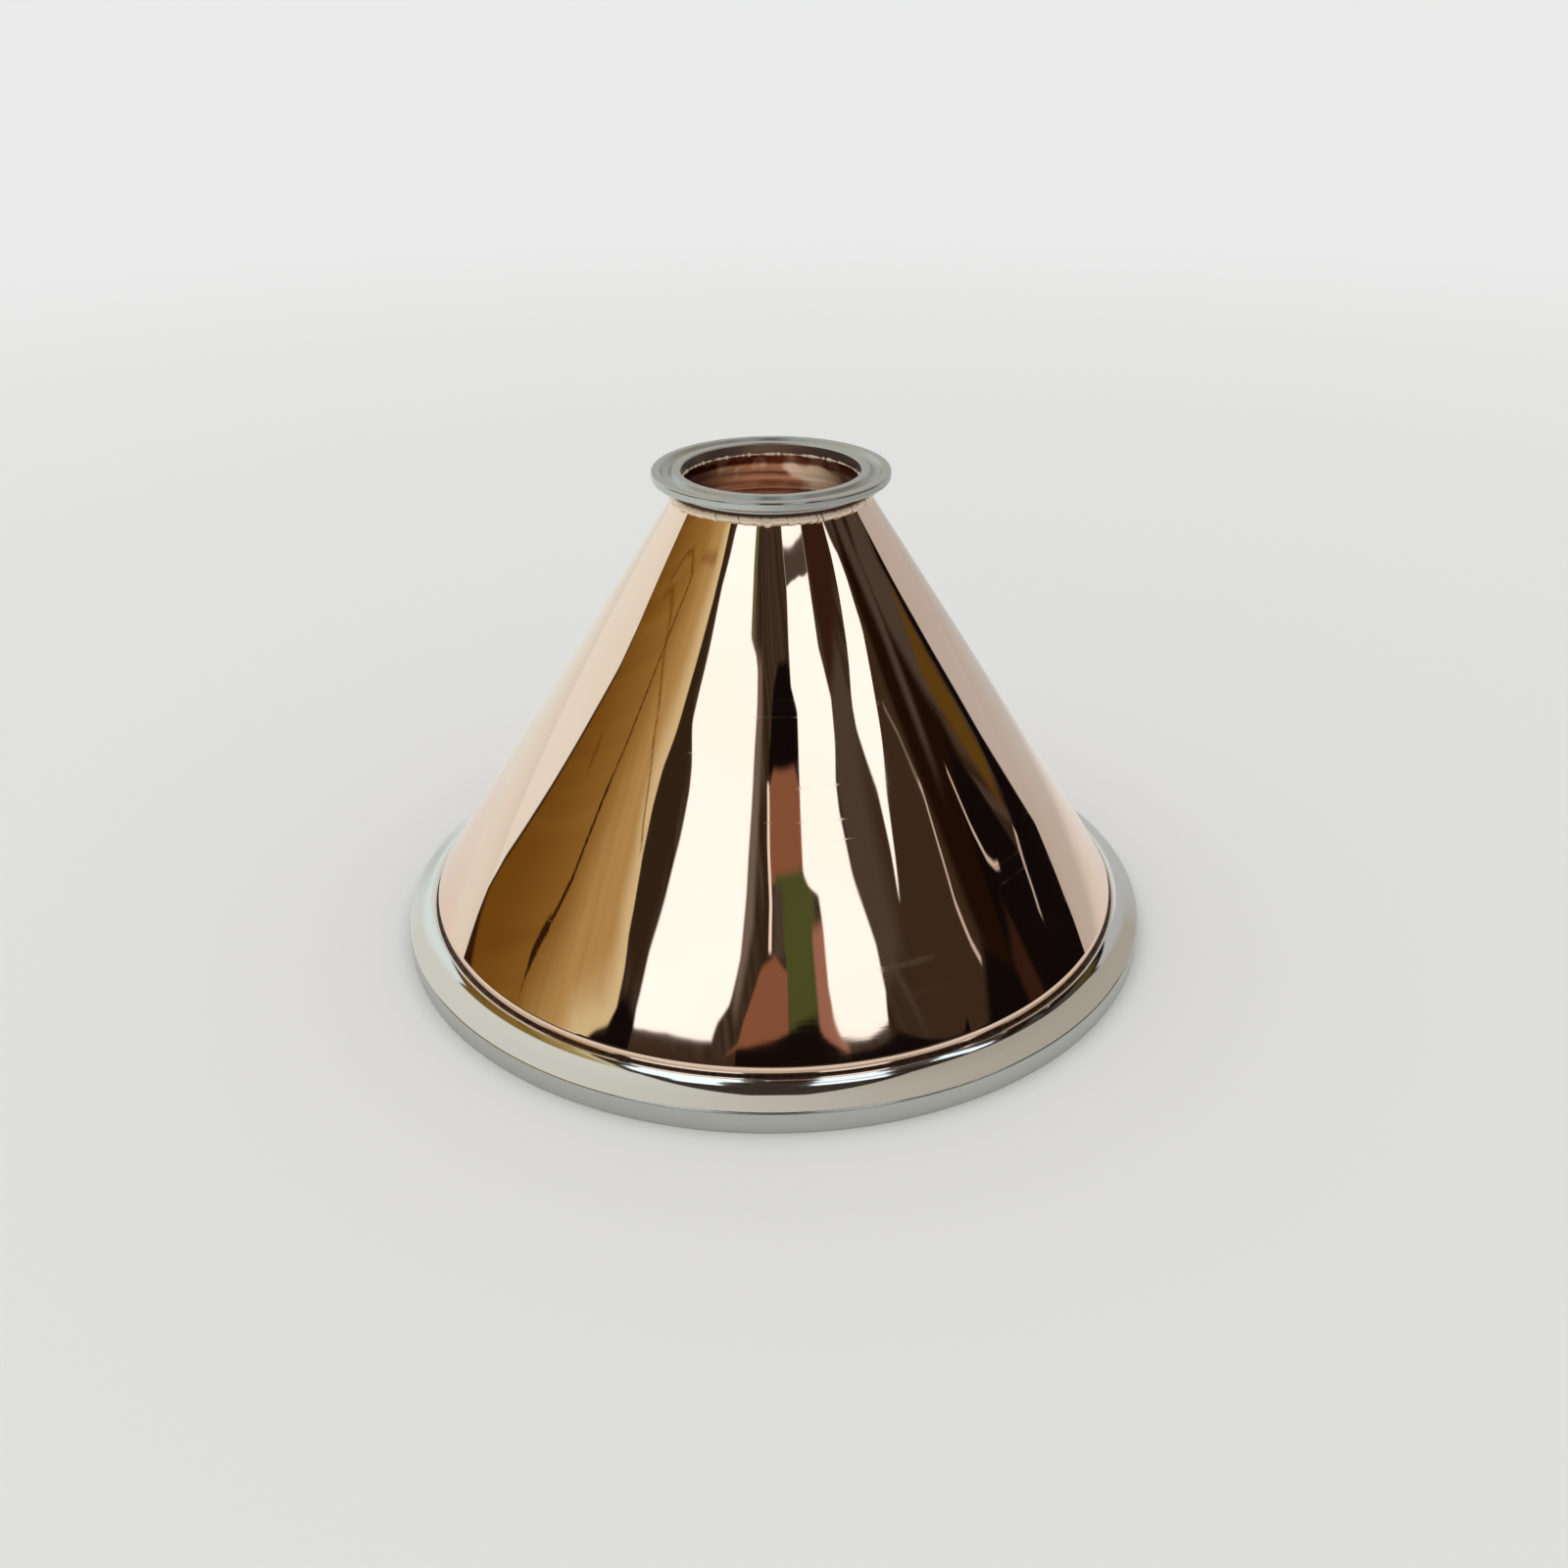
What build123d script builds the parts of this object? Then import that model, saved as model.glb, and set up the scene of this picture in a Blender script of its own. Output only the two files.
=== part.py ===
from build123d import *
import math
import os

# Concentric pipe reducer: a spun copper cone between two turned stainless clamp ferrules.
# Millimetres, +Z up, origin at the centre of the large end's face, which stands on the ground.

# Whole fitting
overall_height = 134.4

# Copper cone, spun from one sheet
copper_wall = 1.2
skirt_height = 2.2
skirt_bend_radius = 1.2
collar_bend_radius = 1.0
collar_seat_length = 1.4
collar_root_gap = 0.6

# Large clamp ferrule, whose flange measures 217.4 across
large_bore_diameter = 197.2
large_face_width = 10.1
large_rim_height = 6.15
large_edge_round = 0.8
large_foot_chamfer = 0.3
large_neck_wall = 2.55
large_neck_height = 10.45
large_neck_lean = 35.0
large_neck_fillet = 7.8

# Small clamp ferrule, whose flange measures 64 across
small_bore_diameter = 48.0
small_face_width = 8.0
small_rim_height = 2.2
small_edge_round = 0.6
small_neck_wall = 1.5
small_neck_length = 0.47

# Both ferrules
back_slope_angle = 20.0
bore_chamfer = 0.35
groove_width = 3.4
groove_flank_angle = 55.0
groove_bottom_radius = 1.4

# Welds
seam_height = 0.25
seam_recess = 0.12
seam_root = 0.25
bead_lump_pitch = 2.5
bead_crest_radius = 1.45
bead_waist_radius = 0.95
bead_lump_sides = 12
bead_lump_overlap = 0.25
bead_lump_lean = 18.0
bead_stand_off = 0.75

# Positions that several pieces share
large_bore_radius = large_bore_diameter / 2
large_flange_radius = large_bore_radius + large_face_width
large_neck_radius = large_bore_radius + large_neck_wall
small_bore_radius = small_bore_diameter / 2
small_flange_radius = small_bore_radius + small_face_width
skirt_radius = large_bore_radius + copper_wall
collar_radius = small_bore_radius + copper_wall
small_neck_radius = collar_radius + small_neck_wall
back_slope = math.tan(math.radians(back_slope_angle))
small_rim_bottom = overall_height - small_rim_height
small_slope_bottom = small_rim_bottom - (small_flange_radius - small_neck_radius) * back_slope
small_neck_bottom = small_slope_bottom - small_neck_length
collar_top = small_neck_bottom + collar_seat_length
cone_top = small_neck_bottom - collar_root_gap
skirt_bottom = large_neck_height + seam_height
skirt_top = skirt_bottom + skirt_height
cone_angle = math.atan((skirt_radius - collar_radius) / (cone_top - skirt_top))


def rounded_outline(corners):
    """Closed outline through (radius, height, rounding) corners, each rounded by an arc."""
    starts, ends, middles = [], [], []
    for index, (radius, height, rounding) in enumerate(corners):
        corner = Vector(radius, height)
        before = (Vector(*corners[index - 1][:2]) - corner).normalized()
        after = (Vector(*corners[(index + 1) % len(corners)][:2]) - corner).normalized()
        half_angle = math.radians(before.get_angle(after)) / 2
        back_off = rounding / math.tan(half_angle)
        starts.append(corner + before * back_off)
        ends.append(corner + after * back_off)
        inward = (before + after).normalized()
        middles.append(corner + inward * rounding * (1 / math.sin(half_angle) - 1))
    edges = []
    for index, corner in enumerate(corners):
        if corner[2] > 0:
            edges.append(Edge.make_three_point_arc(starts[index], middles[index], ends[index]))
        edges.append(Edge.make_line(ends[index], starts[(index + 1) % len(corners)]))
    return Wire(edges)


def turned(corners):
    """Solid of revolution about the upright axis from rounded outline corners."""
    return revolve(Plane.XZ * Face(rounded_outline(corners)), Axis.Z, 360)


def gasket_groove(bore_radius, flange_radius, face_height, inwards):
    """Corners of a round-bottomed groove in the middle of a flange face, bore side first."""
    middle = (bore_radius + flange_radius) / 2
    half_width = groove_width / 2
    flank_drop = half_width * math.tan(math.radians(groove_flank_angle))
    return [
        (middle - half_width, face_height, 0),
        (middle, face_height + inwards * flank_drop, groove_bottom_radius),
        (middle + half_width, face_height, 0),
    ]


def cone_radius(height):
    """Outside radius of the straight conical wall at a height."""
    return skirt_radius - (height - skirt_top) * math.tan(cone_angle)


def make_reducer_cone():
    """Copper shell of even wall: upright skirt, straight cone and upright collar."""
    bend_shift = copper_wall * math.tan(cone_angle / 2)
    return turned([
        (large_bore_radius, skirt_bottom, 0),
        (skirt_radius, skirt_bottom, 0),
        (skirt_radius, skirt_top, skirt_bend_radius + copper_wall),
        (collar_radius, cone_top, collar_bend_radius),
        (collar_radius, collar_top, 0),
        (small_bore_radius, collar_top, 0),
        (small_bore_radius, cone_top - bend_shift, collar_bend_radius + copper_wall),
        (large_bore_radius, skirt_top - bend_shift, skirt_bend_radius),
    ])


def make_large_ferrule():
    """Turned ring with a rim, a back slope, a leaning neck and a groove in its underside."""
    lean = math.tan(math.radians(large_neck_lean))
    reach = large_flange_radius - large_neck_radius - large_neck_height * lean
    fillet_height = (large_rim_height + reach * back_slope) / (1 - lean * back_slope)
    fillet_radius = large_neck_radius + (large_neck_height - fillet_height) * lean
    return turned([
        (large_bore_radius, bore_chamfer, 0),
        (large_bore_radius + bore_chamfer, 0, 0),
        *gasket_groove(large_bore_radius, large_flange_radius, 0, 1),
        (large_flange_radius - large_foot_chamfer, 0, 0),
        (large_flange_radius, large_foot_chamfer, 0),
        (large_flange_radius, large_rim_height, large_edge_round),
        (fillet_radius, fillet_height, large_neck_fillet),
        (large_neck_radius, large_neck_height, 0),
        (large_bore_radius, large_neck_height, 0),
    ])


def make_small_ferrule():
    """Turned ring with a grooved face, a back slope, a short neck and a seat for the collar."""
    groove = gasket_groove(small_bore_radius, small_flange_radius, overall_height, -1)
    return turned([
        (small_bore_radius, overall_height - bore_chamfer, 0),
        (small_bore_radius, collar_top, 0),
        (collar_radius, collar_top, 0),
        (collar_radius, small_neck_bottom, 0),
        (small_neck_radius, small_neck_bottom, 0),
        (small_neck_radius, small_slope_bottom, 0),
        (small_flange_radius, small_rim_bottom, small_edge_round),
        (small_flange_radius, overall_height, small_edge_round),
        *reversed(groove),
        (small_bore_radius + bore_chamfer, overall_height, 0),
    ])


def make_lower_weld_seam():
    """Thin dressed weld ring: a fine sunk line outside and a low root ridge inside."""
    middle = large_neck_height + seam_height / 2
    return turned([
        (large_bore_radius, large_neck_height, 0),
        (large_neck_radius - seam_recess, large_neck_height, 0),
        (skirt_radius - seam_recess, middle, 0),
        (skirt_radius, skirt_bottom, 0),
        (large_bore_radius, skirt_bottom, 0),
        (large_bore_radius - seam_root, middle, 0),
    ])


def make_weld_lump():
    """One barrel-shaped lump along X, thick at its crest and thin where the next one starts."""
    half_length = (bead_lump_pitch + bead_lump_overlap) / 2
    sections = [
        Plane((along, 0, 0), z_dir=(1, 0, 0)) * RegularPolygon(radius, bead_lump_sides)
        for along, radius in (
            (-half_length, bead_waist_radius),
            (0, bead_crest_radius),
            (half_length, bead_waist_radius),
        )
    ]
    return loft(sections, ruled=True)


def make_upper_weld_bead(pieces_under_it):
    """Ring of overlapping weld lumps laid in the corner below the small ferrule."""
    lump_height = small_neck_bottom - bead_crest_radius
    lump_circle = cone_radius(lump_height) + bead_stand_off
    lump_count = round(2 * math.pi * lump_circle / bead_lump_pitch)
    lump = Rotation(0, 0, 90) * Rotation(0, bead_lump_lean, 0) * make_weld_lump()
    level = Pos(0, 0, lump_height)
    lumps = [level * place * lump for place in PolarLocations(lump_circle, lump_count)]
    ring = lumps[0].fuse(*lumps[1:])
    inside = Cylinder(small_bore_radius + copper_wall / 2, overall_height, align=(
        Align.CENTER, Align.CENTER, Align.MIN))
    return ring - inside - pieces_under_it


reducer_cone = make_reducer_cone()
small_ferrule = make_small_ferrule()
parts = {
    "reducer_cone": reducer_cone,
    "large_ferrule": make_large_ferrule(),
    "small_ferrule": small_ferrule,
    "lower_weld_seam": make_lower_weld_seam(),
    "upper_weld_bead": make_upper_weld_bead([reducer_cone, small_ferrule]),
}

os.makedirs("parts", exist_ok=True)
for name, shape in parts.items():
    export_step(shape, f"parts/{name}.step")
    print(name, round(shape.volume, 1), "mm3")
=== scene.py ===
# %% [markdown]
# # A polished copper reducer between two clamp ferrules
# The object is a spun copper cone with a turned stainless ferrule welded to each end. Its looks
# are almost all reflection, so the lesson spends its effort on three things: true turned
# profiles, a surface that is nearly but not quite smooth, and a studio that is worth reflecting.
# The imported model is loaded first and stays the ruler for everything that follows.

import math

import bmesh
import bpy
import numpy as np
from mathutils import Matrix, Vector


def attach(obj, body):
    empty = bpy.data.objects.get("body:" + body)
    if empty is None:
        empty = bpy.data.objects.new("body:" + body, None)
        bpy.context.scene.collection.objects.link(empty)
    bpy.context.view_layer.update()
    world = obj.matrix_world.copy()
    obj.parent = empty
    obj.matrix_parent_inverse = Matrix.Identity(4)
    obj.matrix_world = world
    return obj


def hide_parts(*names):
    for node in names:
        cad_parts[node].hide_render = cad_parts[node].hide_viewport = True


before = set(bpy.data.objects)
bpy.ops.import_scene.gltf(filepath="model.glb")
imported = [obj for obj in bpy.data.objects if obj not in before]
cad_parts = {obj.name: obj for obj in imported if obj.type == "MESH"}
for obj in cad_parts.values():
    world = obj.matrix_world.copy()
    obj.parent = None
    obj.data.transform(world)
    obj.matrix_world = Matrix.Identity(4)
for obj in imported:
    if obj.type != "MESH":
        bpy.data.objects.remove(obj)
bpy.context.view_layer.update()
MM = 0.001

# %% [markdown]
# The camera comes before any surface, since a reflection is only right from the right place. Its
# lens and place were worked out from the two flanges' ellipses. It could be aimed with a
# constraint, but three angles say the same thing and survive being moved to another view.

# %% Place the camera
SENSOR_WIDTH = 36.0
PICTURE_PIXELS = 1600
FOCAL_PIXELS = 1542.2
CAMERA_PLACE = Vector((0.0, -394.8, 247.0)) * MM
CAMERA_PITCH = math.radians(27.769)
CAMERA_YAW = math.radians(0.455)
CAMERA_ROLL = math.radians(-0.23)


def camera_axes(pitch, yaw, roll):
    """Right, up and backward directions of a camera that looks along +Y at rest."""
    level = math.cos(pitch)
    forward = Vector((math.sin(yaw) * level, math.cos(yaw) * level, -math.sin(pitch)))
    right = Vector((math.cos(yaw), -math.sin(yaw), 0.0))
    up = right.cross(forward)
    turned_right = right * math.cos(roll) + up * math.sin(roll)
    turned_up = up * math.cos(roll) - right * math.sin(roll)
    return turned_right, turned_up, -forward


lens = bpy.data.cameras.new("camera")
lens.sensor_width = SENSOR_WIDTH
lens.lens = FOCAL_PIXELS * SENSOR_WIDTH / PICTURE_PIXELS
lens.clip_start = 0.01
lens.clip_end = 100.0
camera = bpy.data.objects.new("camera", lens)
columns = camera_axes(CAMERA_PITCH, CAMERA_YAW, CAMERA_ROLL)
camera.matrix_world = Matrix.Translation(CAMERA_PLACE) @ Matrix(columns).transposed().to_4x4()
bpy.context.scene.collection.objects.link(camera)
bpy.context.scene.camera = camera
bpy.context.scene.view_settings.view_transform = "Standard"
print(f"lens {lens.lens:.1f} mm on a {SENSOR_WIDTH:.0f} mm sensor")

# %% [markdown]
# Every finish below is a sum of noises and ramps. Linking dozens of nodes by hand hides the
# thought, so one small class wraps a socket and lets Python write the sum. Any other node comes
# from one method, which sets the node's options before it fills its sockets. A Mix node has a set
# of sockets with the same names for every kind of value, so its colour sockets go by number.

# %% Write shader maths as Python
MIX_FACTOR = 0
MIX_FIRST_COLOUR = 6
MIX_SECOND_COLOUR = 7
MIX_COLOUR_OUT = 2


class Flow:
    """One output socket, used in Python sums as if it were a number."""

    def __init__(self, tree, socket=None):
        self.tree = tree
        self.socket = socket

    def node(self, kind, settings=None, sockets=None, out=0):
        """Adds any node: its settings first, then the values or links of its sockets."""
        made = self.tree.nodes.new(kind)
        for name, value in (settings or {}).items():
            if name == "stops":
                set_stops(made.color_ramp, value)
            else:
                setattr(made, name, value)
        for name, value in (sockets or {}).items():
            if isinstance(value, Flow):
                self.tree.links.new(value.socket, made.inputs[name])
            else:
                made.inputs[name].default_value = value
        return Flow(self.tree, made.outputs[out])

    def output(self, name):
        """Another output of the same node."""
        return Flow(self.tree, self.socket.node.outputs[name])

    def math(self, operation, *values):
        return self.node("ShaderNodeMath", {"operation": operation}, dict(enumerate(values)))

    def __add__(self, other):
        return self.math("ADD", self, other)

    def __sub__(self, other):
        return self.math("SUBTRACT", self, other)

    def __rsub__(self, other):
        return self.math("SUBTRACT", other, self)

    def __mul__(self, other):
        return self.math("MULTIPLY", self, other)

    def __truediv__(self, other):
        return self.math("DIVIDE", self, other)

    __radd__ = __add__
    __rmul__ = __mul__

    def ease(self, low, high):
        """Rises smoothly from zero at low to one at high."""
        sockets = {"Value": self, "From Min": low, "From Max": high}
        return self.node("ShaderNodeMapRange", {"interpolation_type": "SMOOTHSTEP"}, sockets)

    def tint(self, first, second):
        """The first colour where this is zero, the second where it is one."""
        sockets = {MIX_FACTOR: self, MIX_FIRST_COLOUR: first, MIX_SECOND_COLOUR: second}
        return self.node("ShaderNodeMix", {"data_type": "RGBA"}, sockets, MIX_COLOUR_OUT)


def set_stops(ramp, stops):
    """Gives a colour ramp its (place, grey) stops."""
    while len(ramp.elements) > 1:
        ramp.elements.remove(ramp.elements[-1])
    for index, (place, grey) in enumerate(stops):
        stop = ramp.elements.new(place) if index else ramp.elements[0]
        stop.position = place
        stop.color = (grey, grey, grey, 1.0)


def as_light(channel):
    """Amount of light that one 0 to 255 value of a paint chart stands for."""
    part = channel / 255
    return part / 12.92 if part <= 0.04045 else ((part + 0.055) / 1.055) ** 2.4


def colour(red, green, blue):
    """Linear colour from the three values that a paint chart gives."""
    return (as_light(red), as_light(green), as_light(blue), 1.0)


print("shader maths ready")

# %% [markdown]
# A mirror has no looks of its own, so the studio comes next. It stands at infinity, in the world
# shader, as a chart of azimuth and height: tall softbox strips in front, dark flags between them,
# a warm card on the left and a pale surround behind. It could be built from lit planes, but then
# the planes would also cast shadows and show in side views. Only glossy rays see the chart.
# Everything else sees a plain even dome, so the floor and any painted colour stay as written.

# %% Chart of the studio
AZIMUTHS = (-180.0, 180.0)
HEIGHTS = (-5.0, 60.0)

world = bpy.data.worlds.new("studio")
world.use_nodes = True
bpy.context.scene.world = world
sky = world.node_tree
sky.nodes.clear()
start = Flow(sky)
direction = start.node("ShaderNodeTexCoord", out="Generated")
along_x = start.node("ShaderNodeSeparateXYZ", sockets={"Vector": direction})
along_y = along_x.output("Y")
upward = along_x.output("Z")
azimuth = start.math("ARCTAN2", along_x, 0.0 - along_y) * (180 / math.pi)
height = upward.math("ARCSINE", upward) * (180 / math.pi)


def share(value, limits):
    return (value - limits[0]) / (limits[1] - limits[0])


def edge(source, source_limits, target_limits, points):
    """A bent line through (source, target) points, as a number to compare with."""
    stops = [(share(a, source_limits), share(b, target_limits)) for a, b in sorted(points)]
    ramp = start.node("ShaderNodeValToRGB", {"stops": stops}, {"Fac": share(source, source_limits)})
    return ramp * (target_limits[1] - target_limits[0]) + target_limits[0]


def upright(points):
    """Line that gives an azimuth for each height, from (height, azimuth) points."""
    return edge(height, HEIGHTS, AZIMUTHS, points)


def level(points):
    """Line that gives a height for each azimuth, from (azimuth, height) points."""
    return edge(azimuth, AZIMUTHS, HEIGHTS, points)


def right_of(line, soft=0.5):
    return (azimuth - line).ease(-soft, soft)


def left_of(line, soft=0.5):
    return (line - azimuth).ease(-soft, soft)


def above(line, soft=0.3):
    return (height - line).ease(-soft, soft)


def below(line, soft=0.3):
    return (line - height).ease(-soft, soft)


def region(left, right, low, high, soft=0.5, foot_soft=0.3, top_soft=0.3):
    """One between two upright lines and two level ones, and zero around them."""
    upright_part = right_of(left, soft) * left_of(right, soft)
    return upright_part * above(low, foot_soft) * below(high, top_soft)


print("studio chart covers heights", HEIGHTS)

# %% [markdown]
# The three softboxes are drawn by their edges. Straight edges look like computer work, because a
# spun wall is never quite true, so each edge bends as it rises. The strip on the right is cut
# across by a dark gap, and the far one narrows to a wedge. Their feet are crisp and their tops are
# soft. All points are in degrees: height first on an upright line, azimuth first on a level one.

# %% Softbox strips
BOX_TOP = level([(-60, 50), (-20, 54), (15, 54), (45, 50)])
BOX_FOOT_SOFT = 0.06
BOX_TOP_SOFT = 0.8

first_left = upright([
    (22, -45), (24, -46.3), (26, -46), (28.5, -44.6), (31, -43.6), (33, -43.4), (33.7, -45),
    (34.4, -49.8), (37, -49.4), (40, -48.8), (42.7, -46), (46, -38),
])
first_right = upright([
    (26.8, -20.5), (27.7, -19), (28.8, -15.5), (30.6, -12.8), (33, -11.7), (36, -11.2),
    (40, -10.6), (41.6, -10.9), (42.3, -12.5), (42.7, -17), (44, -18.6), (46.5, -20),
])
first_foot = level([(-46, 23.1), (-42, 23.9), (-35, 25.1), (-28, 26.0), (-20, 26.9)])
first_box = region(first_left, first_right, first_foot, BOX_TOP,
                   foot_soft=BOX_FOOT_SOFT, top_soft=BOX_TOP_SOFT)

second_left = upright([
    (25, 26), (26.4, 22.5), (27.6, 19.3), (29, 18.6), (31, 18.9), (32.6, 18.3), (33.3, 14.5),
    (34, 12.6), (36, 13.2), (38, 14.3), (39.6, 15.6), (41, 12.6), (42.6, 12.9), (44.5, 14.5),
    (46.5, 13.2),
])
second_right = upright([
    (25, 36.8), (26, 38), (28, 37.8), (29.8, 35.8), (31.6, 33.8), (34, 32.4), (35.2, 33),
    (36.2, 36.4), (37.4, 39), (39, 37.6), (40, 36.2), (42, 37.4), (43.5, 38.4), (46, 41),
])
second_foot = level([(19, 27.2), (24, 26.5), (30, 25.7), (38, 24.9)])
second_box = region(second_left, second_right, second_foot, BOX_TOP,
                    foot_soft=BOX_FOOT_SOFT, top_soft=BOX_TOP_SOFT)
gap_top = level([(13, 46.2), (20, 45.7), (30, 44.9), (40, 43.8)])
gap_foot = level([(13, 44.7), (20, 44.5), (28, 43.9), (34, 43.1), (40, 42.4)])
gap = above(gap_foot, 0.05) * below(gap_top, 0.05)

third_left = upright([
    (27.2, 50.5), (28.6, 52.4), (30.6, 53.2), (32.4, 51.6), (34, 50.4), (34.8, 51.5), (35.3, 58),
    (36, 63), (37.6, 67),
])
third_right = upright([
    (27.2, 51), (28.2, 54), (29.4, 57.5), (30.1, 63), (31, 66.5), (31.6, 73), (33, 74),
    (35, 73), (37.6, 68),
])
third_box = region(third_left, third_right, 27.2, 37.8)
print("three softboxes drawn in", len(sky.nodes), "nodes")

# %% [markdown]
# Between the softboxes the studio is dark but never one dark. It is painted the way a picture is:
# the studio so far is one colour that varies, and each new shade is mixed over it where a mask
# says so. A patch is such a mask with four sides, each a number or a bent line.

# %% Shades and brushes
SOFTBOX = (1.28, 1.46, 1.61, 1.0)
BLACK = (0.006, 0.004, 0.004, 1.0)
DARK_RED = (0.014, 0.006, 0.002, 1.0)
CHAR = (0.034, 0.023, 0.013, 1.0)
BROWN = (0.046, 0.032, 0.020, 1.0)
UMBER = (0.075, 0.062, 0.052, 1.0)
GREY_FLAG = (0.165, 0.152, 0.130, 1.0)
RED_FLAG = (0.036, 0.016, 0.010, 1.0)
OLIVE_FLAG = (0.135, 0.150, 0.075, 1.0)
OCHRE_FLAG = (0.112, 0.066, 0.010, 1.0)
RUST = (0.250, 0.118, 0.070, 1.0)
PINK_RUST = (0.340, 0.180, 0.135, 1.0)
GREEN = (0.074, 0.100, 0.030, 1.0)
LIGHT_LINE = (0.60, 0.58, 0.56, 1.0)
BRIGHT_LINE = (1.0, 0.98, 0.95, 1.0)


def wander(source, detail=2.0):
    """Smooth noise between zero and one along any number."""
    sockets = {"W": source, "Detail": detail}
    return start.node("ShaderNodeTexNoise", {"noise_dimensions": "1D"}, sockets)


def paint(mask, shade):
    """Lays one more shade over the studio, where the mask is one."""
    global studio
    studio = mask.tint(studio, shade)


def patch(shade, left, right, low, high, soft=0.5):
    """Paints between two upright lines and two level ones."""
    level_soft = soft * 0.6
    paint(region(left, right, low, high, soft, level_soft, level_soft), shade)


def line(shade, middle, low, high, width):
    """Paints a narrow upright line."""
    patch(shade, middle - width, middle + width, low, high, 0.25)


studio = wander(azimuth * 0.06 + height * 0.09, 3.0).ease(0.30, 0.85).tint(CHAR, UMBER)
print("studio ground painted in", len(sky.nodes), "nodes")

# %% [markdown]
# One char flag hangs left of the first softbox. All the others stand on the right: umber, red and
# brown ones with an ochre one beyond, and thin lines of light come through where two of them don't
# quite meet. The pale surround begins at the last one's edge.

# %% Dark flags
pale_edge = upright([
    (-4.5, 124), (-1, 122.6), (2, 121.4), (6, 120), (10, 118.7), (14, 117), (18, 116), (24, 122),
])
patch(CHAR, -60.0, upright([(24, -48), (33, -46), (35, -52), (42, -50)]), 24.0, 44.0, 1.2)
patch(RED_FLAG, 40.0, 76.0, 37.2, 60.0, 1.5)
patch(UMBER, 34.0, 51.0, 26.0, 37.5, 1.5)
patch(BROWN, 47.0, 78.0, 16.0, 33.0, 4.0)
patch(DARK_RED, 76.0, 101.0, 6.0, 34.0, 2.0)
patch(UMBER, upright([(20, 84), (27, 86), (34, 82)]), upright([(20, 87), (27, 93), (34, 90)]),
      21.0, 34.0, 2.5)
patch(UMBER, upright([(14, 106), (18, 99), (24, 93)]), 111.0, 15.0, 27.0, 2.0)
patch(OCHRE_FLAG, upright([(7, 110), (12, 106.5), (16, 103), (21, 98)]), pale_edge - 4.6,
      7.5, 17.6, 1.6)
black_top = level([
    (60, 15.5), (68, 16.6), (76, 17.2), (83, 13), (90, 17.2), (97, 17), (103, 12), (107, 6.6),
    (114, 6.4), (120, 9),
])
patch(BLACK, 64.0, pale_edge, -20.0, black_top, 1.0)
patch(BLACK, pale_edge - 3.2, pale_edge, -20.0, 18.0, 0.9)
patch(RED_FLAG, 84.0, 90.0, 8.0, 13.0, 1.2)
slit = level([(101, 6.6), (106, 6.9), (111, 6.3)])
patch(LIGHT_LINE, 102.0, 110.0, slit - 0.18, slit + 0.18, 0.3)
near_slit = upright([
    (17.4, 73.2), (18.6, 72.2), (20.4, 71.7), (22.4, 73.2), (24, 75), (27, 73), (29.5, 70),
])
line(LIGHT_LINE, near_slit, 17.4, 25.5, 0.45)
line(GREY_FLAG, upright([(17.4, 73.2), (24, 75), (27, 73), (29.5, 70)]), 24.5, 29.5, 0.5)
far_slit = upright([(12, 95.5), (13, 93.2), (14.2, 91.4), (16, 90.6), (19, 91.2)])
line(LIGHT_LINE, far_slit, 12.2, 18.5, 0.4)
print("flags painted in", len(sky.nodes), "nodes")

# %% [markdown]
# In the middle, between the first two softboxes, lie the small coloured patches that break up the
# dark: rust, green and one pale line, with black above. Along the bottom runs a dark crescent,
# black and brown, just under the softboxes' feet.

# %% Patches in the middle
patch(OLIVE_FLAG, -23.0, upright([(42, -13), (44, -15.5), (47.5, -16)]), 42.3, 48.0, 1.2)
patch(GREY_FLAG, -14.0, upright([(29, -12.5), (32, -8.5), (38, -7), (42, -7.5)]), 28.5, 42.3, 1.3)
patch(CHAR, -4.6, -1.0, 30.5, 38.5, 0.8)
patch(BLACK, -2.4, 16.0, 38.0,
      level([(-3, 38.2), (0, 41), (4, 42.3), (11, 42.2), (16, 39.6)]), 0.35)
patch(RUST, -2.4, 14.0, 33.8, level([(-3, 37.2), (0, 38.2), (12, 38.0), (15, 36)]), 0.4)
patch(GREEN, upright([(28, 4.6), (31, 4), (34, 0.4)]), 16.0, 28.2, 34.2, 0.5)
patch(UMBER, -0.4, 3.4, 30.9, 33.7, 0.7)
line(BRIGHT_LINE, upright([(31, -1.9), (33, -1.6), (35, -2.3), (38, -3)]), 31.2, 37.6, 0.55)
patch(RUST, upright([(25.8, -21), (27.5, -12), (28.6, -10), (30.6, -5), (32, 0)]), 4.4, 25.5,
      level([(-12, 28.8), (-5, 30.6), (0, 31.1), (4.5, 30.4)]), 0.3)
patch(PINK_RUST, 14.4, second_left + 0.6, 26.0, 31.4, 0.6)
crescent = level([
    (-45, 23.4), (-30, 25.3), (-20, 26.2), (-12, 27.3), (-5, 27.8), (2, 28.15), (9, 28.4),
    (13, 28.2), (16, 27.4), (22, 26.3), (30, 25.3), (40, 24.2), (60, 19.0),
])
patch(BLACK, upright([(18, -62), (21, -56), (24, -50)]), -44.0, 15.0, 23.6, 1.0)
patch(BROWN, -46.0, -10.0, 15.0, crescent, 0.2)
patch(BLACK, -12.5, 62.0, 15.0, crescent, 0.15)
print("dark studio painted in", len(sky.nodes), "nodes")

# %% [markdown]
# The warm card on the left is a large gold reflector. It darkens to the lower left, its free edge
# catches light, a crooked crease runs down it, and two faint folds cross it. The crease wanders by
# a noise along its height, because a line through a few points alone would look ruled.

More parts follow.
